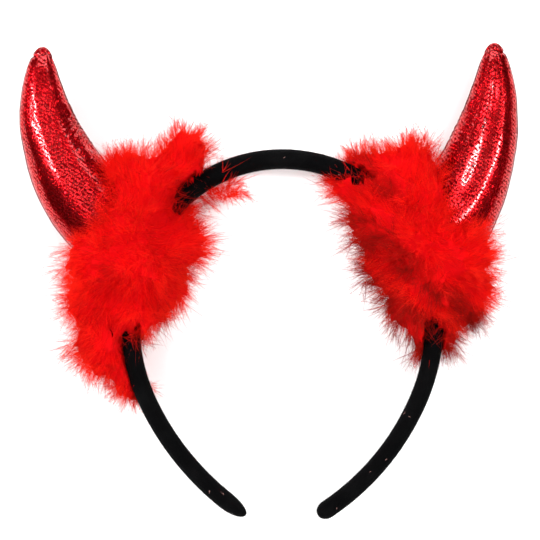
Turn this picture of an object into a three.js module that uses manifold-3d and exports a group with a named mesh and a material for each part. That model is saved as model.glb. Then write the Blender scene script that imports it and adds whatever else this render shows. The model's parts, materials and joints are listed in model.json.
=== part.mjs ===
// Devil horns headband: a velvet-covered hoop that carries two stuffed lame horns, each with its foot
// wrapped in a wound strand of marabou feathers.
// Millimetres, +Z up. The headband lies on its back: the hoop runs level, with its crown towards +Y and
// its open end towards -Y. The origin is under the middle of the whole, on the surface that it lies on.
import * as THREE from "three";
import { mergeVertices } from "three/addons/utils/BufferGeometryUtils.js";
import Module from "manifold-3d";

// Driving dimensions of the hoop
const crownRadius = 61.1; // centre line of the arc that runs over the head
const crownThickness = 8;
const crownDepth = 10;
const legThickness = 7.3;
const legDepth = 8.5;
const hoopSides = 10;
const hoopStep = 9;

// The hoop thins from the crown's section to the leg's between these distances from the crown, as shares of
// crownRadius
const thinning = { from: 1, to: 2.05 };

// Each side of the hoop: the arcs that follow each other from the crown, with their radii as shares of
// crownRadius and the degrees that each one turns, and how long the end takes to round off, as a share of
// legThickness
const hoopHalves = {
  left: {
    side: -1,
    endRounding: 1.5,
    arcs: [
      { radius: 1, sweep: 67.5 },
      { radius: 1.26, sweep: 48.8 },
      { radius: 1.87, sweep: 30.2 },
    ],
  },
  right: {
    side: 1,
    endRounding: 0.62,
    arcs: [
      { radius: 1, sweep: 69 },
      { radius: 1.285, sweep: 43.8 },
      { radius: 1.692, sweep: 35.9 },
    ],
  },
};

// Driving dimensions of the horns
const hornLength = 99;
const hornFootWidth = 38.6;
const hornDepthShare = 0.84; // how deep the stuffed horn is, as a share of its width
const hornSaddleDepth = 2; // how far the foot comes down over the hoop
const hornFootOverrun = 22; // extra foot that the saddle is cut from
const hornLift = 0.8; // how far the marabou keeps the horns off the surface
const hornSides = 16;
const seamRidge = 0.035; // how far the side seams stand out, as a share of the half width
const puckerShare = 0.03; // how deep the seam's gathers dent the inner curve, as a share of the half width
const puckerCount = 9;

// Each horn: how far along the hoop its foot sits from the crown, as a share of crownRadius, how many degrees
// it leans from the hoop's outward direction there towards the crown, its lean out from +Y at the tip, and
// its length as a share of hornLength
const horns = {
  left: { seat: 1.167, footTurn: 5.8, tipLean: -7.9, length: 1 },
  right: { seat: 1.218, footTurn: 28.5, tipLean: -4.2, length: 0.96 },
};

// The horn's half width along its length, both as shares: a fat foot, a nearly straight taper, and a
// blunt rounded tip
const hornProfile = [
  { along: 0, width: 1 },
  { along: 0.2, width: 0.94 },
  { along: 0.4, width: 0.84 },
  { along: 0.58, width: 0.704 },
  { along: 0.78, width: 0.503 },
  { along: 0.88, width: 0.37 },
  { along: 0.92, width: 0.305 },
  { along: 0.95, width: 0.245 },
  { along: 0.975, width: 0.18 },
  { along: 0.992, width: 0.1 },
  { along: 1, width: 0 },
];
const hornStations = 24;

// The hoop and the horns share one level above the surface.
const hoopHeight = (hornFootWidth / 2) * hornDepthShare + hornLift;

// Driving dimensions of the marabou
const puffRadius = 17; // a full puff of the strand, out to the ends of its locks
const coreShare = 0.7; // the dense middle of a puff
const smallPuff = 0.8; // a puff under this size is drawn with fewer, wider locks
const lockSpacing = 8.5; // between the locks of a full puff, at its core
const lockSweep = 0.16; // how far the locks of a puff all bend away from the strand, as a share of its radius
const lockJitter = 0.13;

// The puffs of each wound strand: how far along the hoop from the crown, as a share of crownRadius, then as
// shares of puffRadius how far out from the hoop's centre line, how far up from its height, and the radius
const puffs = {
  left: [
    { along: 0.56, out: 0.8, up: 0.2, size: 0.7 },
    { along: 0.63, out: 0.55, up: 0.3, size: 0.79 },
    { along: 0.61, out: -0.05, up: -0.4, size: 0.56 },
    { along: 0.52, out: -0.3, up: 0.05, size: 0.55 },
    { along: 0.45, out: -0.5, up: -0.05, size: 0.45 },
    { along: 0.85, out: 0.8, up: 0.75, size: 1 },
    { along: 0.87, out: 1.4, up: 0.5, size: 0.57 },
    { along: 1.05, out: -0.5, up: 0.2, size: 1.02 },
    { along: 1.07, out: 0.55, up: 1, size: 0.85 },
    { along: 1.32, out: 0.97, up: 0.8, size: 0.94 },
    { along: 1.52, out: 0.84, up: 0.1, size: 0.95 },
    { along: 1.24, out: -0.05, up: 0.75, size: 1 },
    { along: 1.38, out: -0.6, up: -0.2, size: 0.82 },
    { along: 1.56, out: -0.27, up: 0.4, size: 0.76 },
    { along: 1.79, out: 0.65, up: -0.2, size: 1 },
    { along: 2.04, out: 0.2, up: -0.2, size: 0.58 },
    { along: 0.94, out: 0.01, up: -0.55, size: 0.95 },
    { along: 1.53, out: 0, up: -0.5, size: 0.87 },
  ],
  right: [
    { along: 0.52, out: -0.12, up: 0, size: 0.72 },
    { along: 0.6, out: 0.24, up: 0.1, size: 0.79 },
    { along: 0.76, out: 0.81, up: 0.6, size: 0.98 },
    { along: 0.89, out: 0.67, up: 1, size: 0.75 },
    { along: 0.86, out: -0.45, up: 0.35, size: 1 },
    { along: 1.09, out: 0.17, up: 0.9, size: 1.02 },
    { along: 1.16, out: -0.6, up: -0.1, size: 1.04 },
    { along: 1.27, out: 0.92, up: 1, size: 0.85 },
    { along: 1.47, out: 0.84, up: 0.3, size: 0.74 },
    { along: 1.43, out: -0.11, up: 0.65, size: 0.95 },
    { along: 1.53, out: -0.5, up: -0.1, size: 0.86 },
    { along: 1.53, out: 0.69, up: 0, size: 0.8 },
    { along: 1.72, out: -0.03, up: 0, size: 0.78 },
    { along: 0.95, out: -0.12, up: -0.55, size: 0.87 },
    { along: 1.39, out: 0.23, up: -0.5, size: 0.89 },
  ],
};

const seatGap = 0.35; // between pieces that are glued or wound onto each other
const { degToRad, lerp, smoothstep } = THREE.MathUtils;

const wasm = await Module();
wasm.setup();

// A closed geometry as a solid for joining and cutting. A mirrored one has its faces turned round.
function solidOf(geometry, mirrored = false) {
  const loose = geometry.index ? geometry.toNonIndexed() : geometry;
  const bare = new THREE.BufferGeometry().setAttribute("position", loose.getAttribute("position"));
  const merged = mergeVertices(bare, 1e-4);
  const index = merged.index.array;
  const triVerts = [];
  for (let i = 0; i < index.length; i += 3) {
    const [a, b, c] = index.slice(i, i + 3);
    if (a !== b && b !== c && c !== a) triVerts.push(a, mirrored ? c : b, mirrored ? b : c);
  }
  return new wasm.Manifold(
    new wasm.Mesh({
      numProp: 3,
      vertProperties: merged.getAttribute("position").array,
      triVerts: new Uint32Array(triVerts),
    }),
  );
}

function geometryOf(solid) {
  const mesh = solid.getMesh();
  return new THREE.BufferGeometry()
    .setAttribute("position", new THREE.BufferAttribute(mesh.vertProperties, 3))
    .setIndex(new THREE.BufferAttribute(mesh.triVerts, 1));
}

// Moves each vertex of a geometry to the point that place gives for it.
function reshape(geometry, place) {
  const position = geometry.getAttribute("position");
  const point = new THREE.Vector3();
  for (let i = 0; i < position.count; i++) {
    point.fromBufferAttribute(position, i);
    position.setXYZ(i, ...place(point).toArray());
  }
  return geometry;
}

// A value between the rows of a table, eased so that the rows don't show as corners.
function fromTable(table, key, value, at) {
  const last = table.length - 1;
  const above = table.findIndex((row) => row[key] >= at);
  const i = above < 0 ? last : Math.max(above, 1);
  const [low, high] = [table[i - 1], table[i]];
  const before = table[Math.max(i - 2, 0)];
  const after = table[Math.min(i + 1, last)];
  const span = high[key] - low[key];
  const t = (Math.min(Math.max(at, low[key]), high[key]) - low[key]) / span;
  const slopeAt = (a, b) => (b[key] > a[key] ? (b[value] - a[value]) / (b[key] - a[key]) : 0);
  const steps = [slopeAt(before, low), slopeAt(low, high), slopeAt(high, after)];
  const meet = (a, b) => (a * b > 0 ? (2 * a * b) / (a + b) : 0);
  const startSlope = i > 1 ? meet(steps[0], steps[1]) : steps[1];
  const endSlope = i < last ? meet(steps[1], steps[2]) : steps[1];
  const rise = high[value] - low[value];
  const bow = startSlope * span - rise;
  const counterBow = rise - endSlope * span;
  return low[value] + t * rise + t * (1 - t) * ((1 - t) * bow + t * counterBow);
}

// A repeatable row of numbers from 0 to 1.
function makeRandom(seed) {
  let state = seed;
  return () => {
    state = (state * 16807) % 2147483647;
    return state / 2147483647;
  };
}

// The direction out from an arc's middle at an angle from the crown, positive on the +X side.
function radial(angle) {
  return new THREE.Vector3(Math.sin(angle), Math.cos(angle), 0);
}

function arcLength({ radius, sweep }) {
  return radius * crownRadius * degToRad(sweep);
}

function hoopLength({ arcs }) {
  return arcs.reduce((length, arc) => length + arcLength(arc), 0);
}

// The hoop's centre line at a distance from the crown: the point, the direction out from the hoop, and that
// direction's angle from +Y.
function hoopAt({ side, arcs }, distance) {
  const middle = new THREE.Vector3(0, 0, hoopHeight);
  let angle = 0;
  let rest = distance;
  for (const [i, arc] of arcs.entries()) {
    const radius = arc.radius * crownRadius;
    const last = i === arcs.length - 1;
    if (rest <= arcLength(arc) || last) {
      const turned = angle + rest / radius;
      const out = radial(side * turned);
      return { point: middle.addScaledVector(out, radius), out, angle: turned };
    }
    angle += degToRad(arc.sweep);
    rest -= arcLength(arc);
    middle.addScaledVector(radial(side * angle), radius - arcs[i + 1].radius * crownRadius);
  }
}

// The hoop as a round bar of unit radius along +Y, with rounded ends, that is bent round and sized to its
// section. Clearance makes the hole that it needs in a neighbour.
function hoopSolid(clearance = 0) {
  const { left, right } = hoopHalves;
  const start = left.endRounding * legThickness - hoopLength(left);
  const end = hoopLength(right) - right.endRounding * legThickness;
  const steps = Math.round((end - start) / hoopStep);
  const roundings = 4;
  const profile = [];
  for (let i = -roundings; i <= steps + roundings; i++) {
    const turn = ((i < 0 ? -i : Math.max(i - steps, 0)) / roundings) * (Math.PI / 2);
    const past = (i < 0 ? -left.endRounding : right.endRounding) * legThickness;
    const at = lerp(start, end, Math.min(Math.max(i, 0), steps) / steps);
    profile.push(new THREE.Vector2(turn < Math.PI / 2 ? Math.cos(turn) : 0, at + past * Math.sin(turn)));
  }
  const bar = new THREE.LatheGeometry(profile, hoopSides);
  const bent = reshape(bar, ({ x, y, z }) => {
    const { point, out } = hoopAt(y < 0 ? left : right, Math.abs(y));
    const thinned = smoothstep(Math.abs(y) / crownRadius, thinning.from, thinning.to);
    const thickness = lerp(crownThickness, legThickness, thinned) / 2 + clearance;
    const depth = lerp(crownDepth, legDepth, thinned) / 2 + clearance;
    return point.addScaledVector(out, x * thickness).setZ(hoopHeight + z * depth);
  });
  return solidOf(bent, true);
}

// The horn's centre line leaves the hoop's at its seat and follows one arc: the point, and the direction
// across the horn, towards the inside of its curve.
function hornAt(half, horn, distance) {
  const seat = hoopAt(half, horn.seat * crownRadius);
  const footLean = seat.angle - degToRad(horn.footTurn);
  const radius = (horn.length * hornLength) / (footLean - degToRad(horn.tipLean));
  const acrossAt = (lean) => new THREE.Vector3(half.side * -Math.cos(lean), Math.sin(lean), 0);
  const across = acrossAt(footLean - distance / radius);
  const point = seat.point.addScaledVector(acrossAt(footLean), radius).addScaledVector(across, -radius);
  return { point, across };
}

// A horn is a turned shape that is pressed a little flat, seamed along both edges and bent along its arc.
// Its foot is cut to the hoop. Clearance makes the hollow that it needs in the marabou.
function hornSolid(half, horn, clearance = 0) {
  const length = horn.length * hornLength;
  const profile = [new THREE.Vector2(0, -hornFootOverrun), new THREE.Vector2(1, -hornFootOverrun)];
  for (let i = 0; i < hornStations; i++) {
    const share = Math.sin(((i / (hornStations - 1)) * Math.PI) / 2);
    profile.push(new THREE.Vector2(share < 1 ? 1 : 0, share * length));
  }
  const turned = new THREE.LatheGeometry(profile, hornSides);
  const bent = reshape(turned, ({ x, y, z }) => {
    const along = Math.max(y, 0) / length;
    const halfWidth = (fromTable(hornProfile, "along", "width", along) * hornFootWidth) / 2;
    const edge = x ** 8;
    const gathered = x > 0 ? edge * Math.sin(along * puckerCount * 2 * Math.PI) : 0;
    const swell = 1 + seamRidge * edge - puckerShare * gathered * (1 - along);
    const { point, across } = hornAt(half, horn, y);
    const width = x * (halfWidth * swell + clearance);
    const depth = z * (halfWidth * hornDepthShare + clearance);
    return point.addScaledVector(across, width).setZ(hoopHeight + depth);
  });
  // The foot ends on a round face that comes down over the hoop, and the hoop's own hole is cut from it.
  const faceRadius = crownRadius + crownThickness / 2 - hornSaddleDepth - clearance;
  const within = new THREE.CylinderGeometry(faceRadius, faceRadius, 4 * hornFootWidth, 96);
  within.rotateX(Math.PI / 2);
  return solidOf(bent, half.side > 0)
    .subtract(solidOf(within))
    .subtract(hoopSolid(seatGap - clearance));
}

// A puff of marabou: a ball whose skin is drawn out into locks. They all bend along sweep, and each one a
// little its own way.
function puffSolid({ centre, size, sweep }, random) {
  const jitter = () => new THREE.Vector3(random() - 0.5, random() - 0.5, random() - 0.5).multiplyScalar(2);
  const ball = new THREE.IcosahedronGeometry(1, size < smallPuff ? 1 : 2);
  ball.applyQuaternion(new THREE.Quaternion(...jitter().toArray(), 1).normalize());
  const position = ball.getAttribute("position");
  const tips = [];
  for (let i = 0; i < position.count; i++) {
    const root = new THREE.Vector3().fromBufferAttribute(position, i);
    if (tips.some((tip) => tip.root.distanceTo(root) < lockSpacing / (puffRadius * coreShare))) continue;
    const bend = sweep.clone().multiplyScalar(lockSweep).addScaledVector(jitter(), lockJitter);
    tips.push({ root, end: root.clone().multiplyScalar(0.88 + 0.2 * random()).add(bend) });
  }
  const drawn = reshape(ball, (point) => {
    const tip = tips.find(({ root }) => root.distanceTo(point) < 0.01);
    const place = tip ? tip.end.clone() : point.clone().multiplyScalar(coreShare);
    return place.multiplyScalar(size * puffRadius).add(centre);
  });
  return solidOf(drawn);
}

// A wound strand of marabou round one horn's foot and the hoop: puffs fused to each other, clear of the
// hoop, the horn and the surface.
function marabouSolid(half, horn, rows, seed) {
  const random = makeRandom(seed);
  const heart = hornAt(half, horn, 0).point;
  const solids = rows.map(({ along, out, up, size }) => {
    const seat = hoopAt(half, along * crownRadius);
    const centre = seat.point.addScaledVector(seat.out, out * puffRadius).setZ(hoopHeight + up * puffRadius);
    const sweep = centre.clone().sub(heart).normalize();
    return puffSolid({ centre, size, sweep }, random);
  });
  const below = new THREE.BoxGeometry(8 * crownRadius, 8 * crownRadius, 2 * hoopHeight);
  below.translate(0, 0, -hoopHeight);
  const cleared = solids
    .reduce((fused, solid) => fused.add(solid))
    .subtract(solidOf(below))
    .subtract(hoopSolid(seatGap))
    .subtract(hornSolid(half, horn, seatGap));
  // Lock ends that the cuts leave loose are dropped: the strand is the largest body.
  return cleared.decompose().reduce((best, body) => (body.volume() > best.volume() ? body : best));
}

const materials = {
  velvet: new THREE.MeshStandardMaterial({ color: 0x0b0b0d, roughness: 0.95, metalness: 0 }),
  lame: new THREE.MeshStandardMaterial({ color: 0xc4101c, roughness: 0.3, metalness: 0.9 }),
  marabou: new THREE.MeshStandardMaterial({ color: 0xe8120f, roughness: 1, metalness: 0 }),
};

function meshOf(name, solid, material) {
  const mesh = new THREE.Mesh(geometryOf(solid), material);
  mesh.name = name;
  return mesh;
}

const group = new THREE.Group();
group.add(meshOf("hoop", hoopSolid(), materials.velvet));
for (const [seed, hand] of [[4, "left"], [9, "right"]]) {
  const half = hoopHalves[hand];
  group.add(meshOf(`horn_${hand}`, hornSolid(half, horns[hand]), materials.lame));
  group.add(meshOf(`marabou_${hand}`, marabouSolid(half, horns[hand], puffs[hand], seed), materials.marabou));
}

// The origin goes under the middle of the whole.
const extent = new THREE.Box3().setFromObject(group);
const middle = extent.getCenter(new THREE.Vector3());
group.position.set(-middle.x, -middle.y, -extent.min.z);

export default group;
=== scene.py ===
import json
import math

import bmesh
import bpy
import numpy as np
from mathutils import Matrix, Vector, noise


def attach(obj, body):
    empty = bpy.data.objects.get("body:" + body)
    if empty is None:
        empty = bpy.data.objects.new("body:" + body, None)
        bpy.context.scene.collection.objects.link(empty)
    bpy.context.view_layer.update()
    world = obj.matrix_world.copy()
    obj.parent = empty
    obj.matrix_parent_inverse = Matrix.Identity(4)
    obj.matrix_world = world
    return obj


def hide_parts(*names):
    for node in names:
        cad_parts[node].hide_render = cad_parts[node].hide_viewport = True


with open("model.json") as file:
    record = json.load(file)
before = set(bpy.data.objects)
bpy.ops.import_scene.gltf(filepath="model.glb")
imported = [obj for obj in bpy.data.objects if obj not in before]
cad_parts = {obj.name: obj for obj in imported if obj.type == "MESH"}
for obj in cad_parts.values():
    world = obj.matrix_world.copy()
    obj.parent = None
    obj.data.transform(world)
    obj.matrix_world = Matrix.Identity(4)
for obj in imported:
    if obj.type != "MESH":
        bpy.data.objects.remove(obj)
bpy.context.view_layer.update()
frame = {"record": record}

MM = 0.001

# The hoop, as its solid has it. Each half from the crown down: its side, how much of LEG_THICKNESS its end
# rounds off over, and its arcs, each a radius as a share of CROWN_RADIUS and a sweep in degrees
CROWN_RADIUS = 61.1
CROWN_THICKNESS = 8
CROWN_DEPTH = 10
LEG_THICKNESS = 7.3
LEG_DEPTH = 8.5
THINNING = (1, 2.05)  # shares of CROWN_RADIUS from the crown, between which the section thins
HALVES = {
    "left": {"side": -1, "end": 1.5, "arcs": [(1, 67.5), (1.26, 48.8), (1.87, 30.2)]},
    "right": {"side": 1, "end": 0.62, "arcs": [(1, 69), (1.285, 43.8), (1.692, 35.9)]},
}
HOOP_SIDES = 40
HOOP_STEP = 1.6
HOOP_ROUNDING_RINGS = 12
COVER_PROUD = 0.1  # of the velvet's ground, past the solid

# The horns, as their solids have them. For each: how far along the hoop it sits as a share of CROWN_RADIUS,
# how many degrees its foot is turned from the direction out and its tip leans, its length as a share of
# HORN_LENGTH, how deep its puckers are, and the fold up its face: how far across it is as a share of the half
# width, its share of FOLD_DEPTH, and its width, a share too
HORN_LENGTH = 99
HORN_FOOT_WIDTH = 38.6
HORN_DEPTH_SHARE = 0.84
HORN_LIFT = 0.8
HORNS = {
    "left": {
        "seat": 1.167, "foot_turn": 5.8, "tip_lean": -7.9, "length": 1,
        "puckers": 0.85, "fold": (0.1, 0.35, 0.2),
    },
    "right": {
        "seat": 1.218, "foot_turn": 28.5, "tip_lean": -4.2, "length": 0.96,
        "puckers": 0.4, "fold": (0.02, 2, 0.27),
    },
}
# The horn's half width along its length, both as shares
HORN_PROFILE = np.array([
    (0, 1), (0.2, 0.94), (0.4, 0.84), (0.58, 0.704), (0.78, 0.503), (0.88, 0.37), (0.92, 0.305),
    (0.95, 0.245), (0.975, 0.18), (0.992, 0.1), (1, 0),
])
HORN_SIDES = 112
HORN_STATIONS = 170
FOOT_HALVINGS = 24  # steps that close in on where the foot meets the hoop
HOOP_HEIGHT = HORN_FOOT_WIDTH / 2 * HORN_DEPTH_SHARE + HORN_LIFT
# How the horn's cloth lies. A turn is radians round the horn, and along is a share of its length. Pairs named
# FROM_TIP or FROM_FOOT says how far from there a form starts to show, and how far from there it is whole
# FROM_TIP or FROM_FOOT says how far from there a form starts to show, and how far from there it is whole
SEAM_RIDGE = 0.5
SEAM_RIDGE_TURN = 0.045
SEAM_VALLEY = 0.7
SEAM_VALLEY_TURN = 0.3
SEAM_WIDTH = 1.5  # where the cloth beside the stitches is dull, and darkened by painted shade of the seam's groove
SEAM_FROM_TIP = (0, 0.12)
PUCKER_LENGTH = 3.3
PUCKER_LEAN = 1.6  # puckers passed in a turn of one radian from the inner seam
PUCKER_WAVERS = [(0.55, 31), (0.4, 57)]  # puckers out of step, and how fast that changes along the horn
PUCKERED_ALONG = (0.6, 0.15)  # the middle of the puckered stretch, and how far it spreads
PUCKERED_TURN = (0.42, 0.4)
STUFFING_LUMP = 0.45
STUFFING_SPACING = 16
SMALL_LUMP = 0.12
SMALL_SPACING = 6
SMALL_SHIFT = (9, 3, 1)
LUMPS_FROM_TIP = (0.02, 0.3)
TIP_CREASE = 0.35
TIP_CREASES = 9
TIP_CREASE_TWIST = 6
TIP_CREASED = 0.9  # where the creases start
TIP_GATHER = 0.962  # where the stitches at the tip draw the cloth in, along the horn
TIP_GATHER_SLANT = 0.012  # how far that comes and goes, twice round the horn
TIP_GATHER_TURN = 1
TIP_TIE = 0.7
TIP_TIE_WIDTH = 0.006
FOLD_DEPTH = 1.1
FOLD_FROM_FOOT = (0.15, 0.4)
FOLD_FROM_TIP = (0.02, 0.25)
SLIM = 4  # a horn whose half width is less than this swells less in proportion

# The foil: how its rows slant in the cut cloth, and their sizes
FOIL_TURN = -58
FOIL_ROW = 0.62
FOIL_DASH = 1.45
FOIL_THICKNESS = 0.085
FOIL_WANDER = 1.2  # how far the rows wander, in rows
CRINKLE_DEPTH = 0.05
FOIL_COLOUR = (0.72, 0.009, 0.014)
FOIL_EDGE_COLOUR = (0.95, 0.3, 0.32, 1)  # where it is seen from the side
GROUND_COLOURS = ((0.06, 0.0006, 0.001), (0.2, 0.0012, 0.003))
# The colour of the painted shade in the seams' grooves
SEAM_SHADE_COLOUR = (0.06, 0.001, 0.002)

# The marabou, as its solids have it: the puffs of each strand, how far along the hoop from the crown as a
# share of its radius, then as shares of PUFF_RADIUS how far out from the hoop, how far up, and the radius
PUFF_RADIUS = 17
PUFFS = {
    "left": [
        (0.56, 0.8, 0.2, 0.7), (0.63, 0.55, 0.3, 0.79), (0.61, -0.05, -0.4, 0.56), (0.52, -0.3, 0.05, 0.55),
        (0.45, -0.5, -0.05, 0.45), (0.85, 0.8, 0.75, 1), (0.87, 1.4, 0.5, 0.57), (1.05, -0.5, 0.2, 1.02),
        (1.07, 0.55, 1, 0.85), (1.32, 0.97, 0.8, 0.94), (1.52, 0.84, 0.1, 0.95), (1.24, -0.05, 0.75, 1),
        (1.38, -0.6, -0.2, 0.82), (1.56, -0.27, 0.4, 0.76), (1.79, 0.65, -0.2, 1), (2.04, 0.2, -0.2, 0.58),
        (0.94, 0.01, -0.55, 0.95), (1.53, 0, -0.5, 0.87),
    ],
    "right": [
        (0.52, -0.12, 0, 0.72), (0.6, 0.24, 0.1, 0.79), (0.76, 0.81, 0.6, 0.98), (0.89, 0.67, 1, 0.75),
        (0.86, -0.45, 0.35, 1), (1.09, 0.17, 0.9, 1.02), (1.16, -0.6, -0.1, 1.04), (1.27, 0.92, 1, 0.85),
        (1.47, 0.84, 0.3, 0.74), (1.43, -0.11, 0.65, 0.95), (1.53, -0.5, -0.1, 0.86), (1.53, 0.69, 0, 0.8),
        (1.72, -0.03, 0, 0.78), (0.95, -0.12, -0.55, 0.87), (1.39, 0.23, -0.5, 0.89),
    ],
}
# Where the hoop lies on top of the feathers, from and to, as shares of CROWN_RADIUS from the crown, up to
# well past its end, and how far the edges of these places slant across it near the crown
BAND_SHOWS = {"left": [(-1, 0.49), (0.605, 0.8), (1.74, 9)], "right": [(-1, 0.51), (1.67, 9)]}
BAND_SLANT = {"left": -0.05, "right": 0.06}
BAND_RAGGED = 0.03
BAND_MARGIN = 0.6  # how far beside the hoop the feathers still stay under it
BAND_SPREAD = 0.3  # of the feathers' height off the hoop that is kept where they are moved under or over it
BAND_CROSSED = 0.015  # the share of barbs there that cross over the hoop
EDGE_CROSSED = 0.2  # and nearer than EDGE_REACH to the edge of such a place
EDGE_REACH = 0.08
SEEDS = {"left": 41, "right": 97}
SWIRL_WAVES = 6
SWIRL_PACE = 2.2
SWIRLS = {"band": 3, "coat": 11, "coat_shade": 17, "tufts": 23, "painted_shading": 29}  # the seed of each
PAINTED_SHADE = {"left": 0.3, "right": 1.15}  # how much painted shade darkens the barbs and the down on the side that faces SHADED_WAY, away from the light
SHADED_WAY = (-0.73, -0.69)
SHADING_SPACING = 18
SHADING_RAGGED = 0.8
SHADING_REACH = 0.9  # how far out from the horn's foot the strand is in full painted shade, in PUFF_RADIUS

CORE_SHARE = 0.66  # the dense down inside a puff, as a share of its radius
CORE_LEAST = 0.57  # a puff smaller than this is all loose barbs
CORE_VOXEL = 1.6
CORE_CLOSING = 4  # crevices narrower than twice this are filled
CORE_SMOOTHING = 6
CORE_LUMP = 0.12  # of each ball's radius
CORE_LUMP_SPACING = 5
CORE_TUFT = 1.5  # how far its skin is drawn out into small tufts
CORE_TUFT_SPACING = 2.2
CORE_SHADE = 0.3
COAT_BARBS = 9000  # that grow straight from a strand's dense down
COAT_LENGTH = 9.5
COAT_VARIES = (0.55, 1.15)
COAT_CLUMP = 7  # the distance over which neighbouring barbs lean together
COAT_LEANS = (0.5, 0.85, 0.45)  # outwards, away from the horn's foot, and together
COAT_SCATTER = 0.16
COAT_CURL = (0.05, 0.6)
COAT_DROOP = 0.1
COAT_FLATTEN = 0.4
COAT_SHADE = (0.5, 0.4)  # the middle of its clumps' shades, and how far they go up and down
COAT_LONG = (0.08, 1.7)  # the share of barbs that are longer than the rest, and by how much
PLUMES_PER_PUFF = 9  # on a full puff
FEWEST_PLUMES = 5
PLUME_REACH = (0.7, 0.92)  # where its shaft ends, as a share of the puff's radius
PLUME_FLATTEN = 0.6  # plumes lie down more than they stand up
PLUME_SWEEP = 0.75  # how strongly they all lean away from the horn's foot
PLUME_SWEEP_VARIES = (0.6, 1.3)
PLUME_SCATTER = 0.15
PLUME_ROOT = 0.3  # how far its root lies off the puff's middle, out and back along the plume
PLUME_SPLAY = 0.12
PLUME_BEND = 0.18
PLUME_ARCH = 0.08
PLUME_FACES_UP = 1.2  # how much more its vane faces up than out from the puff
PLUME_FACE_SCATTER = 0.3
BARBS = 44  # on a plume
BARB_POINTS = 5
BARB_LENGTH = 11.5
BARB_VARIES = (0.7, 1.15)
BARB_WIDTH = 0.17
BARB_TAPER = 0.65
BARB_SWELL = (0.45, 0.55)  # the shortest ones' share of the length, and what the longest ones add
BARB_SWELL_TURN = (0.12, 0.62)  # where in a half wave that starts, at the shaft's root, and how far it goes
BARB_FROM = 0.06  # where the first ones leave the shaft
BARB_PLACE_SCATTER = 0.02
BARB_SPREAD = (72, 52, 1.2)  # degrees from the shaft at its root, how many fewer at its tip, and the power
BARB_SCATTER = 9
BARB_LIFT = 0.3
BARB_CURL = (0.1, 0.55)
BARB_DROOP = 0.12
BARB_FOLLOWS = 0.45  # how much a barb bends the way that its shaft or the coat flows
BARB_LONG = (0.09, 1.6)
BARB_ROLL = 0.5
BARB_SHADE = (0.55, 0.35)  # of the darkest at its root, and what the lightest adds
BARB_DARKENS = (0.75, 0.4, 1.5)  # towards its tip, how much more where it is bare, and the power
OWN_SHADE = 0.3  # the share of its shade that is a barb's own, and not its plume's or clump's
BARBULES = 18  # on a barb
BARBULE_LENGTH = 2.8
BARBULE_WIDTH = 0.1
BARBULE_PLACES = (0.04, 0.9)  # along a barb
BARBULE_TAPER = 0.85  # how much shorter they are at a barb's tip
BARBULE_VARIES = (0.5, 1.2)
BARBULE_FORWARD = (0.25, 1.1)  # how far they lean towards the barb's tip
BARBULE_SHADE = (0.3, 0.4, 0.2)  # of the darkest, and what the barb's shade and the place on it add
BARE_LENGTH = (11.5, 13)  # of barbs that start to be, and that are, dark hairs with hardly any down
BARE_STRIPPED = 0.8  # how much shorter their down is
CLEARANCE = 0.3
HORN_MARGIN = 0.5  # past the clearance, for the seams
HORN_BESIDE = 1.5  # how far past the horn's ends the feathers are still moved out of it
FLOOR_SPREAD = 0.02
LEAST_REACH = 0.05  # a point that is nearer than this to the middle of a section isn't moved all the way out
DOWN_COLOURS = ((0.45, 0.002, 0.002), (0.86, 0.003, 0.007))  # in the painted shade and out of it
# The feathers' darkest colour serves dark tips and darker barbs, and also the painted shade on the side away
# from the light
FEATHER_COLOURS = ((0.19, 0.005, 0.003), (0.88, 0.0035, 0.006))
LIGHTEST_COLOUR = (0.94, 0.009, 0.013)
THROUGH_COLOUR = (0.92, 0.055, 0.014, 1)  # of the light that comes through a feather
LINE_STEP = 0.8
MOST_AT_ONCE = 20000  # points in one search for the nearest point of a line
MOST_TRIANGLES = 190000  # in a piece

# The velvet and its pile
VELVET_COLOURS = ((0.0006, 0.0006, 0.0008), (0.002, 0.002, 0.0022))
PILE_COLOURS = ((0.0005, 0.0005, 0.0007), (0.003, 0.003, 0.0033))
PILE_HAIRS = 90000
PILE_LENGTH = 0.6
PILE_WIDTH = 0.07
PILE_VARIES = (0.6, 1.35)
PILE_SCATTER = 0.35
PILE_ROOTS = 0.25  # how far under the ground's skin they start, as a share of their length
PILE_SEED = 5
LINT_SPECKS = 16
LINT_COLOUR = (0.55, 0.3, 0.28)
LINT_WIDTH = 2  # hairs
LINT_LENGTH = (0.7, 1.8)
LINT_TILT = 0.15
LINT_RISE = 0.8  # above the hairs' roots, as a share of their length
LINT_EDGE = 0.3  # no lint nearer than this to the hoop's edges, in radians round it

CAMERA_HEIGHT = 1230  # above the hoop's level
CAMERA_LENS = 200
FRAME_MIDDLE = (-5.08, 15.62)  # from the middle of the hoop's arc over the head
WORLD_COLOUR = (0.02, 0.02, 0.021, 1)

head = Vector(next(m for m in frame["record"]["mounts"] if m["name"] == "head")["pos_m"]) / MM
CROWN_MIDDLE = np.array([head.x, head.y + CROWN_THICKNESS / 2 - CROWN_RADIUS, HOOP_HEIGHT])


# Lines and sections

def unit(vectors):
    return vectors / np.maximum(np.linalg.norm(vectors, axis=-1, keepdims=True), 1e-9)


def aside_of(ways, random):
    """A direction straight across each of the ways, turned round it by chance."""
    return unit(np.cross(ways, random.normal(0, 1, ways.shape)))


def radial(angle):
    """The direction out from an arc's middle at an angle from the crown, positive on the +X side."""
    return np.stack([np.sin(angle), np.cos(angle), np.zeros_like(angle)], -1)


def smooth(value, low, high):
    share = np.clip((value - low) / (high - low), 0, 1)
    return share * share * (3 - 2 * share)


def bell(offset, width):
    return np.exp(-((offset / width) ** 2))


def hoop_length(hand):
    return sum(radius * CROWN_RADIUS * math.radians(sweep) for radius, sweep in HALVES[hand]["arcs"])


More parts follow.
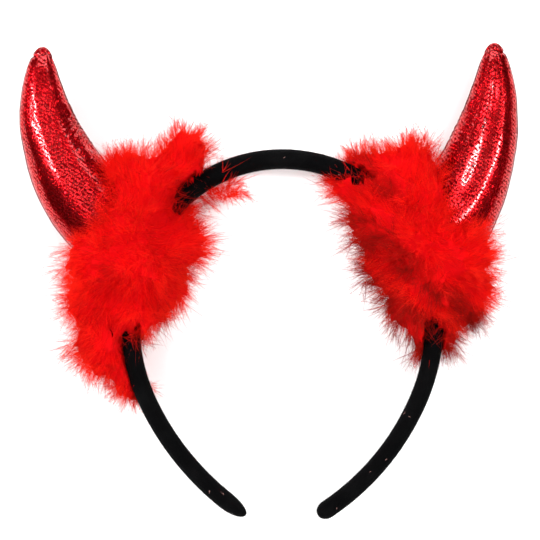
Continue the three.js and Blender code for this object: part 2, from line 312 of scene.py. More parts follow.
def hoop_at(hand, distance):
    """The hoop's centre line at distances from the crown: the points, the directions out, and their
    angles."""
    side = HALVES[hand]["side"]
    arcs = HALVES[hand]["arcs"]
    distance = np.asarray(distance, float)
    point = np.zeros(distance.shape + (3,))
    angle = np.zeros(distance.shape)
    middle = CROWN_MIDDLE.copy()
    start = turned = 0.0
    for i, (share, sweep) in enumerate(arcs):
        radius = share * CROWN_RADIUS
        here = distance >= start
        angle[here] = turned + (distance[here] - start) / radius
        point[here] = middle + radius * radial(side * angle[here])
        turned += math.radians(sweep)
        start += radius * math.radians(sweep)
        if i + 1 < len(arcs):
            middle = middle + (radius - arcs[i + 1][0] * CROWN_RADIUS) * radial(np.float64(side * turned))
    return point, radial(side * angle), angle


def hoop_section(distance):
    """Half the hoop's thickness and half its depth at distances from the crown."""
    thinned = smooth(distance / CROWN_RADIUS, *THINNING)
    thickness = CROWN_THICKNESS + (LEG_THICKNESS - CROWN_THICKNESS) * thinned
    depth = CROWN_DEPTH + (LEG_DEPTH - CROWN_DEPTH) * thinned
    return thickness / 2, depth / 2


def eased(table, at):
    """Values between the rows of a table, eased so that the rows don't show as corners."""
    x, y = table.T
    step = np.diff(x)
    slope = np.diff(y) / step
    product = slope[:-1] * slope[1:]
    inner = np.where(product > 0, 2 * product / np.where(product > 0, slope[:-1] + slope[1:], 1), 0)
    slopes = np.concatenate([slope[:1], inner, slope[-1:]])
    i = np.clip(np.searchsorted(x, at) - 1, 0, len(step) - 1)
    t = (np.clip(at, x[0], x[-1]) - x[i]) / step[i]
    rise = y[i + 1] - y[i]
    bow = slopes[i] * step[i] - rise
    counter_bow = rise - slopes[i + 1] * step[i]
    return y[i] + t * rise + t * (1 - t) * ((1 - t) * bow + t * counter_bow)


def horn_length(hand):
    return HORNS[hand]["length"] * HORN_LENGTH


def horn_half_width(hand, distance):
    along = np.clip(distance / horn_length(hand), 0, 1)
    return eased(HORN_PROFILE, along) * HORN_FOOT_WIDTH / 2


def horn_at(hand, distance):
    """The horn's centre line at distances from the hoop's: the points, the directions across it towards the
    inside of its curve, and the directions along it."""
    horn = HORNS[hand]
    side = HALVES[hand]["side"]
    seat, _, seat_angle = hoop_at(hand, horn["seat"] * CROWN_RADIUS)
    foot_lean = seat_angle - math.radians(horn["foot_turn"])
    radius = horn_length(hand) / (foot_lean - math.radians(horn["tip_lean"]))

    def across_at(lean):
        return np.stack([-side * np.cos(lean), np.sin(lean), np.zeros_like(lean)], -1)

    lean = foot_lean - np.asarray(distance, float) / radius
    across = across_at(lean)
    along = np.stack([side * np.sin(lean), np.cos(lean), np.zeros_like(lean)], -1)
    return seat + across_at(foot_lean) * radius - across * radius, across, along


def horn_foot(hand):
    """The middle of the horn's foot, which the feathers lead away from."""
    return horn_at(hand, 0.0)[0]


# Meshes

def closed_loft(rings):
    """A skin through rings of points, closed to a point at both ends, with each vertex's ring and place."""
    mesh = bmesh.new()
    count = len(rings[0])
    turn = mesh.verts.layers.int.new("turn")
    ring_of = mesh.verts.layers.int.new("ring")
    bmesh.ops.create_circle(mesh, segments=count, radius=1)
    mesh.verts.ensure_lookup_table()
    for i, vertex in enumerate(mesh.verts):
        vertex[turn] = i
        vertex.co = rings[0][i]
    edges = mesh.edges[:]
    for number, ring in enumerate(rings[1:], 1):
        drawn = bmesh.ops.extrude_edge_only(mesh, edges=edges)["geom"]
        edges = [item for item in drawn if isinstance(item, bmesh.types.BMEdge)]
        for vertex in (item for item in drawn if isinstance(item, bmesh.types.BMVert)):
            vertex[ring_of] = number
            vertex.co = ring[vertex[turn]]
        edges = [edge for edge in edges if all(vertex[ring_of] == number for vertex in edge.verts)]
    bmesh.ops.remove_doubles(mesh, verts=mesh.verts, dist=1e-7)
    bmesh.ops.recalc_face_normals(mesh, faces=mesh.faces)
    return mesh


def in_scene(name, data):
    """An object of its own for a mesh, a lamp or a camera."""
    made = bpy.data.objects.new(name, data)
    bpy.context.scene.collection.objects.link(made)
    return made


def finish_piece(name, mesh, material, slot, *nodes):
    """Puts a mesh in the scene as a piece that stands for the solids named."""
    if isinstance(mesh, bmesh.types.BMesh):
        data = bpy.data.meshes.new(name)
        mesh.to_mesh(data)
        mesh.free()
    else:
        data = mesh
        data.name = name
    data.materials.append(material)
    piece = in_scene(name, data)
    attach(piece, "root")
    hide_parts(*nodes)
    return piece


def read(items, name, kind=float):
    """Three values of every item of a mesh, as rows."""
    values = np.empty(len(items) * 3, kind)
    items.foreach_get(name, values)
    return values.reshape(-1, 3)


def triangle_mesh(name, points, triangles, **shares):
    """A mesh from arrays of points and triangles, with numbers from 0 to 1 on its points."""
    data = bpy.data.meshes.new(name)
    data.vertices.add(len(points))
    data.vertices.foreach_set("co", (points * MM).astype(np.float32).ravel())
    data.loops.add(triangles.size)
    data.loops.foreach_set("vertex_index", triangles.astype(np.int32).ravel())
    data.polygons.add(len(triangles))
    data.polygons.foreach_set("loop_start", np.arange(0, triangles.size, 3, dtype=np.int32))
    data.update(calc_edges=True)
    for share, values in shares.items():
        data.attributes.new(share, "FLOAT", "POINT").data.foreach_set("value", values.astype(np.float32))
    return data


# Shader nodes

class Value:
    """A socket's value, which varies over a surface. Sums with it add the nodes that work them out."""

    def __init__(self, finish, socket):
        self.finish = finish
        self.socket = socket

    def math(self, operation, *others):
        return self.finish.node("ShaderNodeMath", {"operation": operation}, [self, *others])

    def __add__(self, other):
        return self.math("ADD", other)

    __radd__ = __add__

    def __mul__(self, other):
        return self.math("MULTIPLY", other)

    __rmul__ = __mul__

    def __sub__(self, other):
        return self.math("SUBTRACT", other)

    def __rsub__(self, other):
        return self.finish.node("ShaderNodeMath", {"operation": "SUBTRACT"}, [other, self])

    def between(self, low, high, start=0, end=1):
        """start up to low, end from high, and eased from one to the other in between."""
        settings = {"interpolation_type": "SMOOTHSTEP"}
        return self.finish.node("ShaderNodeMapRange", settings, [self, low, high, start, end])


class Finish:
    """A material, and the nodes that make it."""

    def __init__(self, name):
        self.material = bpy.data.materials.new(name)
        self.material.use_nodes = True
        self.tree = self.material.node_tree
        self.tree.nodes.clear()

    def node(self, kind, settings=None, inputs=(), output=0):
        """Adds a node with its settings and its inputs, by place or by name, and gives one output."""
        made = self.tree.nodes.new(kind)
        for name, setting in (settings or {}).items():
            if name == "stops":
                for stop, (position, colour) in zip(self.stops_of(made, len(setting)), setting):
                    stop.position = position
                    stop.color = (*colour, 1)
            else:
                setattr(made, name, setting)
        for name, value in inputs.items() if isinstance(inputs, dict) else enumerate(inputs):
            if isinstance(value, Value):
                self.tree.links.new(value.socket, made.inputs[name])
            elif value is not None:
                made.inputs[name].default_value = value
        return Value(self, made.outputs[output])

    def stops_of(self, ramp, count):
        elements = ramp.color_ramp.elements
        while len(elements) < count:
            elements.new(0.5)
        return elements

    def blend(self, share, low, high):
        """A colour between two others."""
        low, high = ((*c, 1) if isinstance(c, tuple) else c for c in (low, high))
        return self.node("ShaderNodeMix", {"data_type": "RGBA"}, {0: share, 6: low, 7: high}, 2)

    def noise(self, place, scale, detail, roughness=0.5):
        inputs = {"Vector": place, "Scale": scale, "Detail": detail, "Roughness": roughness}
        return self.node("ShaderNodeTexNoise", None, inputs)

    def attribute(self, name):
        return self.node("ShaderNodeAttribute", {"attribute_name": name}, output="Fac")

    def place(self):
        """Object coordinates, in metres."""
        return self.node("ShaderNodeTexCoord", output="Object")

    def bump(self, height, depth, strength, normal=None):
        inputs = {"Height": height, "Distance": depth, "Strength": strength, "Normal": normal}
        return self.node("ShaderNodeBump", None, inputs)

    def surface(self, shader):
        output = self.tree.nodes.new("ShaderNodeOutputMaterial")
        self.tree.links.new(shader.socket, output.inputs["Surface"])
        return self.material


def velvet_finish():
    """Black velvet: a dull ground under a short pile, a little greyer where it catches the light."""
    finish = Finish("velvet")
    place = finish.place()
    rubbed = finish.noise(place, 90, 4, 0.6)
    tufts = finish.noise(place, 2600, 2, 0.7)
    colour = finish.blend(rubbed.between(0.4, 0.75), *VELVET_COLOURS)
    return finish.surface(finish.node("ShaderNodeBsdfPrincipled", None, {
        "Base Color": colour,
        "Roughness": tufts.between(0.3, 0.7, 0.8, 1),
        "Specular IOR Level": 0.05,
        "Sheen Weight": 0.01,
        "Sheen Roughness": 0.35,
        "Normal": finish.bump(tufts, 0.25 * MM, 0.6),
    }))


def pile_finish():
    """The velvet's hairs, with lint caught among them."""
    finish = Finish("velvet_pile")
    lint = finish.attribute("lint")
    tip = finish.attribute("tip")
    hair = finish.blend(tip, *PILE_COLOURS)
    return finish.surface(finish.node("ShaderNodeBsdfPrincipled", None, {
        "Base Color": finish.blend(lint, hair, LINT_COLOUR),
        "Roughness": 0.9,
        "Specular IOR Level": 0.05,
    }))


def lame_finish():
    """Red foil cloth: a dull red ground printed with slanting rows of bright foil dashes."""
    finish = Finish("lame")
    cloth = finish.node("ShaderNodeUVMap", {"uv_map": "cloth"})
    turned = finish.node("ShaderNodeMapping", None, {
        "Vector": cloth,
        "Rotation": (0, 0, math.radians(FOIL_TURN)),
    })
    wander = finish.noise(cloth, 220, 2)
    rows = finish.node("ShaderNodeMapping", None, {
        "Vector": turned,
        "Scale": (1 / (FOIL_DASH * MM), 1 / (FOIL_ROW * MM), 1),
    })
    offset = finish.node("ShaderNodeCombineXYZ", None, [wander * FOIL_WANDER, wander * FOIL_WANDER, 0.0])
    shifted = finish.node("ShaderNodeVectorMath", {"operation": "ADD"}, [rows, offset])
    cells = {"voronoi_dimensions": "2D", "feature": "F1"}
    cell = {"Vector": shifted, "Scale": 1.0, "Randomness": 0.5}
    foil = finish.node("ShaderNodeTexVoronoi", cells, cell).between(0.5, 0.28)
    middle = finish.node("ShaderNodeTexVoronoi", cells, cell, "Position")
    chance = finish.node("ShaderNodeTexVoronoi", cells, cell, "Color")
    aside = finish.node("ShaderNodeVectorMath", {"operation": "SUBTRACT"}, [shifted, middle])
    lean = finish.node("ShaderNodeVectorMath", {"operation": "SUBTRACT"}, [chance, (0.5, 0.5, 0.5)])
    tilt = finish.node("ShaderNodeVectorMath", {"operation": "DOT_PRODUCT"}, [aside, lean], "Value")
    # About one dash in eight tilts much more than the others
    rare = finish.node("ShaderNodeSeparateXYZ", None, [chance], "Z").between(0.86, 0.9, 1, 3.5)
    place = finish.place()
    worn = finish.noise(place, 420, 3, 0.6)
    patch = finish.noise(place, 60, 3, 0.55)
    shine = foil * worn.between(0.3, 0.5, 0.4, 1)
    ground = finish.blend(patch.between(0.35, 0.7), *GROUND_COLOURS)
    # Painted shade: beside the seams the colour is darkened as the shadow in their groove would darken it;
    # the same mask also makes the cloth rougher and its dents flatter there
    seam = finish.attribute("seam")
    colour = finish.blend(seam * 0.9, finish.blend(shine, ground, FOIL_COLOUR), SEAM_SHADE_COLOUR)
    height = foil * 0.3 + tilt * rare * patch.between(0.4, 0.62, 0.55, 1.4)
    dents = finish.bump(height, FOIL_THICKNESS * MM, 1 - seam * 0.8)
    crinkle = finish.bump(finish.noise(place, 1300, 2, 0.6), CRINKLE_DEPTH * MM, 0.5, dents)
    return finish.surface(finish.node("ShaderNodeBsdfPrincipled", None, {
        "Base Color": colour,
        "Metallic": 1.0,
        "Roughness": shine.between(0, 1, 0.38, 0.2) + seam * 0.3,
        "Specular Tint": FOIL_EDGE_COLOUR,
        "Coat Weight": shine.between(0.2, 0.8, 0, 1),
        "Coat Roughness": 0.12,
        "Normal": crinkle,
    }))


def marabou_finish(name, low, high):
    """Dyed feather, with light coming through it. Each barb has its own shade, darker still where shade is
    painted in on the side away from the light, and its down is lighter.
    """
    finish = Finish(name)
    shade = finish.attribute("shade")
    patch = finish.noise(finish.place(), 70, 3, 0.6)
    ramp = finish.node("ShaderNodeValToRGB", {"stops": [(0, low), (0.45, high), (1, LIGHTEST_COLOUR)]}, [
        shade + (patch - 0.5) * 0.3,
    ])
    reflected = finish.node("ShaderNodeBsdfPrincipled", None, {
        "Base Color": ramp,
        "Roughness": 1.0,
        "Specular IOR Level": 0.05,
    })
    through = finish.node("ShaderNodeBsdfTranslucent", None, {"Color": THROUGH_COLOUR})
    clear = shade.between(0, 0.5, 0.04, 0.52)
    return finish.surface(finish.node("ShaderNodeMixShader", None, [clear, reflected, through]))


# The hoop

def hoop_line():
    """The hoop from its left end to its right end: distances from the crown, negative on the left, and how
    far each ring is drawn in where the ends round off."""
    left = HALVES["left"]["end"] * LEG_THICKNESS
    right = HALVES["right"]["end"] * LEG_THICKNESS
    start = left - hoop_length("left")
    end = hoop_length("right") - right
    turns = np.sin(np.linspace(0, 1, HOOP_ROUNDING_RINGS) * math.pi / 2)
    middle = np.linspace(start, end, round((end - start) / HOOP_STEP))
    distances = np.concatenate([start - left * turns[:0:-1], middle, end + right * turns[1:]])
    drawn_in = np.sqrt(1 - turns**2)
    sizes = np.concatenate([drawn_in[:0:-1], np.ones(len(middle)), drawn_in[1:]])
    return distances, sizes


def hoop_skin(distance, turn, size, proud):
    """Points on the hoop's cover, and the directions out from it."""
    left = distance < 0
    point, out, _ = hoop_at("right", np.abs(distance))
    left_point, left_out, _ = hoop_at("left", np.abs(distance))
    point[left] = left_point[left]
    out[left] = left_out[left]
    thickness, depth = hoop_section(np.abs(distance))
    across = np.cos(turn)[..., None] * out
    up = np.sin(turn)[..., None] * np.array([0, 0, 1])
    normal = unit(across / thickness[..., None] + up / depth[..., None])
    skin = across * (thickness * size)[..., None] + up * (depth * size)[..., None]
    return point + skin + proud * normal, normal


def make_hoop(material):
    distances, sizes = hoop_line()
    turns = np.arange(HOOP_SIDES) / HOOP_SIDES * 2 * math.pi
    rings = [
        hoop_skin(np.full(HOOP_SIDES, distance), turns, np.full(HOOP_SIDES, size), COVER_PROUD)[0] * MM
        for distance, size in zip(distances, sizes)
    ]
    hoop = closed_loft(rings)
    for face in hoop.faces:
        face.smooth = True
    piece = finish_piece("hoop_cover", hoop, material, "velvet", "hoop")


def make_pile(material):
    """The pile that softens the hoop's edge: each hair is one thin triangle. Lint is a longer, paler one."""
    random = np.random.default_rng(PILE_SEED)
    distances, sizes = hoop_line()
    count = PILE_HAIRS + LINT_SPECKS
    distance = random.uniform(distances[0], distances[-1], count)
    turn = random.uniform(0, 2 * math.pi, count)
    lint = np.arange(count) >= PILE_HAIRS
    turn[lint] = random.uniform(LINT_EDGE, math.pi - LINT_EDGE, LINT_SPECKS)
    root, normal = hoop_skin(distance, turn, np.interp(distance, distances, sizes), -PILE_ROOTS * PILE_LENGTH)
    lean = unit(normal + random.normal(0, PILE_SCATTER, root.shape))
    aside = aside_of(lean, random)
    length = PILE_LENGTH * random.uniform(*PILE_VARIES, count)
    width = PILE_WIDTH * np.where(lint, LINT_WIDTH, 1)[:, None]
    lean[lint] = unit(aside_of(normal, random) + LINT_TILT * normal)[lint]
    root[lint] += LINT_RISE * PILE_LENGTH * normal[lint]
    aside[lint] = np.cross(lean, normal)[lint]
    length[lint] = random.uniform(*LINT_LENGTH, LINT_SPECKS)
    points = np.stack([root - aside * width / 2, root + aside * width / 2, root + lean * length[:, None]], 1)
    triangles = np.arange(3 * count).reshape(-1, 3)
    tip = np.tile([0.0, 0.0, 1.0], count)
    data = triangle_mesh("hoop_pile", points.reshape(-1, 3), triangles, tip=tip, lint=np.repeat(lint, 3))
    finish_piece("hoop_pile", data, material, "velvet", "hoop")


# The horns

def horn_start(hand, turn):
    """How far along the horn its foot meets the hoop's outer face, at each place round it."""
    low = np.full(turn.shape, -HORN_FOOT_WIDTH)
    high = np.full(turn.shape, float(HORN_FOOT_WIDTH))
    face = CROWN_RADIUS + CROWN_THICKNESS / 2 + CLEARANCE
    for _ in range(FOOT_HALVINGS):
        middle = (low + high) / 2
        point, across, _ = horn_at(hand, middle)
        point = point + across * (np.cos(turn) * horn_half_width(hand, middle))[:, None]
        inside = np.hypot(*(point - CROWN_MIDDLE)[:, :2].T) < face
        low = np.where(inside, middle, low)
        high = np.where(inside, high, middle)
    return (low + high) / 2


def lumpiness(place, spacing, shift):
    """Smooth noise from -1 to 1 at points, with lumps of about a spacing."""
    return np.array([noise.noise(Vector(point) / spacing + Vector(shift)) for point in place])


def horn_swell(hand, along, turn, place):
    """How far the cloth stands out or in, in millimetres: two seams, the puckers along the inner one, lumps
    of stuffing, the fold up the face that shows, and creases where the tip is gathered."""
    inner = np.abs(np.arctan2(np.sin(turn), np.cos(turn)))
    from_seam = np.minimum(inner, math.pi - inner)
    seams = SEAM_RIDGE * bell(from_seam, SEAM_RIDGE_TURN) - SEAM_VALLEY * bell(from_seam, SEAM_VALLEY_TURN)
    seams *= smooth(1 - along, *SEAM_FROM_TIP)
    wave = along * horn_length(hand) / PUCKER_LENGTH + PUCKER_LEAN * inner
    for waver, pace in PUCKER_WAVERS:
        wave += waver * np.sin(along * pace)
    middle, spread = PUCKERED_ALONG
    turn_middle, turn_spread = PUCKERED_TURN
    where = bell(along - middle, spread) * bell(inner - turn_middle, turn_spread)
    puckers = HORNS[hand]["puckers"] * np.sin(2 * math.pi * wave) * where
    lumps = lumpiness(place, STUFFING_SPACING, (0, 0, 0)) * STUFFING_LUMP
    lumps += lumpiness(place, SMALL_SPACING, SMALL_SHIFT) * SMALL_LUMP
    lumps *= smooth(1 - along, *LUMPS_FROM_TIP)
    across, depth, width = HORNS[hand]["fold"]
    fold = -FOLD_DEPTH * depth * bell(np.cos(turn) - across, width) * (turn < math.pi)
    fold *= smooth(along, *FOLD_FROM_FOOT)
    fold *= smooth(1 - along, *FOLD_FROM_TIP)
    gathered = TIP_GATHER - TIP_GATHER_SLANT * np.cos(turn * 2 + TIP_GATHER_TURN)
    drawn = 1 + np.cos(TIP_CREASES * turn + TIP_CREASE_TWIST * along)
    creases = -TIP_CREASE * drawn * smooth(along, TIP_CREASED, gathered) / 2
    creases -= TIP_TIE * bell(along - gathered, TIP_TIE_WIDTH)
    return seams + puckers + lumps + fold + creases


def make_horn(hand, material):
    length = horn_length(hand)
    turn = np.arange(HORN_SIDES) / HORN_SIDES * 2 * math.pi
    start = horn_start(hand, turn)
    rings = []
    cloth = []
    halves = [np.zeros(HORN_SIDES)]
    for station in range(HORN_STATIONS + 1):
        share = math.sin(station / HORN_STATIONS * math.pi / 2)
        distance = start + (length - start) * share
        centre, across, _ = horn_at(hand, distance)
        half = horn_half_width(hand, distance)
        up = np.array([0, 0, HORN_DEPTH_SHARE])
        skin = np.cos(turn)[:, None] * across + np.sin(turn)[:, None] * up
        bare = centre + skin * half[:, None]
        swell = horn_swell(hand, np.clip(distance / length, 0, 1), turn, bare) * min(half.max() / SLIM, 1)
        rings.append((centre + skin * (half + swell)[:, None]) * MM)
        # The cut cloth lies flat in plan, so the skin's place in it is as far from its middle as it is round
        # the horn
        aside = np.arcsin(np.cos(turn)) * half
        halves.append(half)
        cloth.append((centre + across * aside[:, None]) * MM)
    rings = [np.tile(rings[0].mean(0), (HORN_SIDES, 1))] + rings
    cloth = [cloth[0]] + cloth
    horn = closed_loft(rings)
    turn_layer = horn.verts.layers.int["turn"]
    ring_layer = horn.verts.layers.int["ring"]
    uv = horn.loops.layers.uv.new("cloth")
    seam = horn.verts.layers.float.new("seam")
    from_seam = np.minimum(turn % math.pi, math.pi - turn % math.pi)
    # How near each point is to a seam: there the cloth is dulled, and darkened by painted shade
    for vertex in horn.verts:
        across = from_seam[vertex[turn_layer]] * halves[vertex[ring_layer]][vertex[turn_layer]]
        vertex[seam] = bell(across, SEAM_WIDTH)
    for face in horn.faces:
        face.smooth = True
        for loop in face.loops:
            loop[uv].uv = cloth[loop.vert[ring_layer]][loop.vert[turn_layer]][:2]
    piece = finish_piece(f"horn_{hand}_cloth", horn, material, "lame", f"horn_{hand}")


# The marabou

def pushed_out(points, centre, side, half_side, up_half, where):
    """Moves the points that lie in an oval section out to its edge, in the section's own plane."""
    offset = points - centre
    aside = (offset * side).sum(-1)
    up = offset[..., 2]
    reach = np.sqrt((aside / half_side) ** 2 + (up / up_half) ** 2)
    inside = where & (reach < 1)
    more = np.where(inside, 1 / np.maximum(reach, LEAST_REACH) - 1, 0)
    moved = side * (aside * more)[..., None]
    moved[..., 2] += up * more
    return points + moved


def nearest(points, line):
    """For each point, the number of the nearest point of a line in plan."""
    found = np.empty(len(points), int)
    for start in range(0, len(points), MOST_AT_ONCE):
        some = slice(start, start + MOST_AT_ONCE)
        found[some] = ((points[some, None, :2] - line[None, :, :2]) ** 2).sum(-1).argmin(1)
    return found


def swirl(points, spacing, seed):
    """A direction for each point that changes gently from place to place."""
    random = np.random.default_rng(seed)
    waves = random.normal(0, 1, (SWIRL_WAVES, 3)) * SWIRL_PACE / spacing
    turns = random.uniform(0, 2 * math.pi, (SWIRL_WAVES, 3))
    return np.sin((points @ waves.T)[..., None] + turns).sum(-2) / math.sqrt(3)


def kept_clear(points, hand, chance=None):
    """Moves points of the marabou out of the hoop and the horn, and up off the surface. Where the hoop lies
    on top, they stay under it, apart from barbs that cross it by chance. The other results say which points
    were in the hoop, and which barbs cross."""
    flat = points.reshape(-1, 3).copy()
    distances = np.arange(0, hoop_length(hand), LINE_STEP)
    line, out, _ = hoop_at(hand, distances)
    thickness, depth = hoop_section(distances)
    i = nearest(flat, line)
    offset = flat - line[i]
    aside = (offset * out[i]).sum(-1)
    slant = BAND_SLANT[hand] * np.clip(aside / thickness[i], -1, 1) * (distances[i] < CROWN_RADIUS)
    ragged = BAND_RAGGED * swirl(flat, COAT_CLUMP, SWIRLS["band"])[:, 0]
    along_hoop = distances[i] / CROWN_RADIUS + ragged - slant
    shows = [(along_hoop > start) & (along_hoop < end) for start, end in BAND_SHOWS[hand]]
    over = np.any(shows, 0) & (np.abs(aside) < thickness[i] + BAND_MARGIN) & (offset[:, 2] > -depth[i])
    past = depth[i] + CLEARANCE + np.abs(offset[:, 2]) * BAND_SPREAD
    side = -1
    crosses = None
    if chance is not None:
        from_edge = np.abs(along_hoop[:, None] - np.ravel(BAND_SHOWS[hand])).min(-1)
        at_edge = from_edge.reshape(points.shape[:-1])[..., 0] < EDGE_REACH
        crosses = chance < np.where(at_edge, EDGE_CROSSED, BAND_CROSSED)
        side = np.where(np.broadcast_to(crosses[..., None], points.shape[:-1]).ravel(), 1, -1)
    flat[:, 2] = np.where(over, HOOP_HEIGHT + side * past, flat[:, 2])
    clear = pushed_out(flat, line[i], out[i], thickness[i] + CLEARANCE, depth[i] + CLEARANCE, True)
    in_hoop = (clear != flat).any(-1).reshape(points.shape[:-1])
    flat = clear
    stations = np.arange(2, horn_length(hand), LINE_STEP)
    line, across, along = horn_at(hand, stations)
    half = horn_half_width(hand, stations) + CLEARANCE + HORN_MARGIN
    i = nearest(flat, line)
    beside = np.abs(((flat - line[i]) * along[i]).sum(-1)) < HORN_BESIDE
    flat = pushed_out(flat, line[i], across[i], half[i], half[i] * HORN_DEPTH_SHARE, beside)
    flat[:, 2] = np.maximum(flat[:, 2], CLEARANCE + FLOOR_SPREAD * np.abs(flat[:, 2]))
    return flat.reshape(points.shape), in_hoop, crosses


def puff_places(hand):
    """Each puff's centre and radius, the direction from the horn's foot to it, and its size as a share."""
    along, out, up, size = np.array(PUFFS[hand]).T
    seat, outward, _ = hoop_at(hand, along * CROWN_RADIUS)
    centre = seat + outward * (out * PUFF_RADIUS)[:, None]
    centre[:, 2] = HOOP_HEIGHT + up * PUFF_RADIUS
    return centre, size * PUFF_RADIUS, unit(centre - horn_foot(hand)), size


def painted_shading(hand, points):
    """How much painted shade darkens the strand at points on the side that faces SHADED_WAY, away from the
    light.
    """
    away = (points - horn_foot(hand))[:, :2] @ np.array(SHADED_WAY) / PUFF_RADIUS
    ragged = SHADING_RAGGED * swirl(points, SHADING_SPACING, SWIRLS["painted_shading"])[:, 0]
    return PAINTED_SHADE[hand] * smooth(away + ragged, 0, SHADING_REACH)


def make_core(hand, material):
    """The dense down in the middle of the strand: balls fused into one lumpy skin."""
    centres, radii, _, sizes = puff_places(hand)
    balls = bmesh.new()
    for centre, radius in zip(centres[sizes >= CORE_LEAST], radii[sizes >= CORE_LEAST]):
        size = (radius * CORE_SHARE + CORE_CLOSING) * MM
        for vertex in bmesh.ops.create_icosphere(balls, subdivisions=4, radius=size)["verts"]:
            lump = noise.noise(vertex.co / MM / CORE_LUMP_SPACING + Vector(centre)) * CORE_LUMP
            vertex.co = vertex.co * (1 + lump) + Vector(centre * MM)
    data = bpy.data.meshes.new("core")
    balls.to_mesh(data)
    balls.free()
    piece = in_scene("core", data)
    fuse = piece.modifiers.new("fuse", "REMESH")
    fuse.mode = "VOXEL"
    fuse.voxel_size = CORE_VOXEL * MM
    fuse.use_smooth_shade = True
    settle = piece.modifiers.new("settle", "SMOOTH")
    settle.iterations = CORE_SMOOTHING
    fused = bpy.data.meshes.new_from_object(piece.evaluated_get(bpy.context.evaluated_depsgraph_get()))
    bpy.data.objects.remove(piece)
    points = read(fused.vertices, "co") / MM - read(fused.vertex_normals, "vector") * CORE_CLOSING
    tufts = np.maximum(swirl(points, CORE_TUFT_SPACING, SWIRLS["tufts"])[:, :1], 0) * CORE_TUFT
    points = kept_clear(points + tufts * unit(points - horn_foot(hand)), hand)[0]
    fused.vertices.foreach_set("co", (points * MM).ravel())
    # Painted shade: the down is darker on the side away from the light
    shade = CORE_SHADE * (1 - painted_shading(hand, points))
    fused.attributes.new("shade", "FLOAT", "POINT").data.foreach_set("value", shade.astype(np.float32))
    finish_piece(f"marabou_{hand}_down", fused, material, "marabou", f"marabou_{hand}")
    return fused


def plume_shafts(hand, random):
    """The plumes of a strand: root, middle and tip of each shaft, and the direction that its vane faces."""
    shafts = []
    for centre, radius, sweep, size in zip(*puff_places(hand)):
        count = max(round(PLUMES_PER_PUFF * size**2), FEWEST_PLUMES)
        turn = (np.arange(count) + random.uniform()) * math.pi * (3 - math.sqrt(5))
        height = 1 - 2 * (np.arange(count) + 0.5) / count
        ring = np.sqrt(1 - height**2)
        ball = np.stack([ring * np.cos(turn), ring * np.sin(turn), height], -1)
        way = ball * np.array([1, 1, PLUME_FLATTEN])
        way += PLUME_SWEEP * sweep * random.uniform(*PLUME_SWEEP_VARIES, (count, 1))
        way = unit(way + random.normal(0, PLUME_SCATTER, way.shape))
        root = centre + radius * (PLUME_ROOT * ball - PLUME_ROOT * way)
        tip = centre + radius * random.uniform(*PLUME_REACH, (count, 1)) * way
        tip += radius * PLUME_SPLAY * ball
        bend = np.cross(way, random.normal(0, 1, way.shape)) * PLUME_BEND * radius
        middle = (root + tip) / 2 + bend + np.array([0, 0, PLUME_ARCH]) * radius
        face_scatter = PLUME_FACE_SCATTER * random.normal(0, 1, way.shape)
        face = unit(ball * np.array([1, 1, PLUME_FACES_UP]) + face_scatter)
        width = np.full(count, size**0.5)
        shafts.append((root, middle, tip, face, width))
    return [np.concatenate(column) for column in zip(*shafts)]


def drawn_line(start, way, turn, length):
    """Points along barbs that leave start and bend by turn."""
    points = [start]
    for step in range(BARB_POINTS - 1):
        way_here = unit(way + turn * (step + 0.5) / (BARB_POINTS - 1))
        points.append(points[-1] + way_here * length / (BARB_POINTS - 1))
    return np.stack(points, -2)


def coat_lines(hand, core, random):
    """Barbs that grow from the dense down and lie in one flow away from the horn's foot, in clumps."""
    core.calc_loop_triangles()
    place = read(core.vertices, "co") / MM
    a, b, c = place[read(core.loop_triangles, "vertices", int).T]
    normal = np.cross(b - a, c - a)
    area = np.linalg.norm(normal, axis=1)
    chosen = random.choice(len(area), COAT_BARBS, p=area / area.sum())
    normal = unit(normal)[chosen]
    start = ((a + b + c) / 3)[chosen] - normal
    flow = unit((start - horn_foot(hand)) * [1, 1, COAT_FLATTEN])
    out, away, together = COAT_LEANS
    way = out * normal + away * flow + together * swirl(start, COAT_CLUMP, SWIRLS["coat"])
    way = unit(way + random.normal(0, COAT_SCATTER, way.shape))
    one_each = (COAT_BARBS, 1)
    curl = aside_of(way, random) * random.uniform(*COAT_CURL, one_each)
    turn = BARB_FOLLOWS * flow + curl - np.array([0, 0, COAT_DROOP])
    long_share, longer = COAT_LONG
    long_ones = np.where(random.uniform(size=one_each) < long_share, longer, 1)
    length = COAT_LENGTH * random.uniform(*COAT_VARIES, one_each) * long_ones
    chance = random.uniform(size=COAT_BARBS)
    lines, in_hoop, crosses = kept_clear(drawn_line(start, way, turn, length), hand, chance)
    free = ~in_hoop[:, 1:].any(-1)
    return lines[free], normal[free], crosses[free]


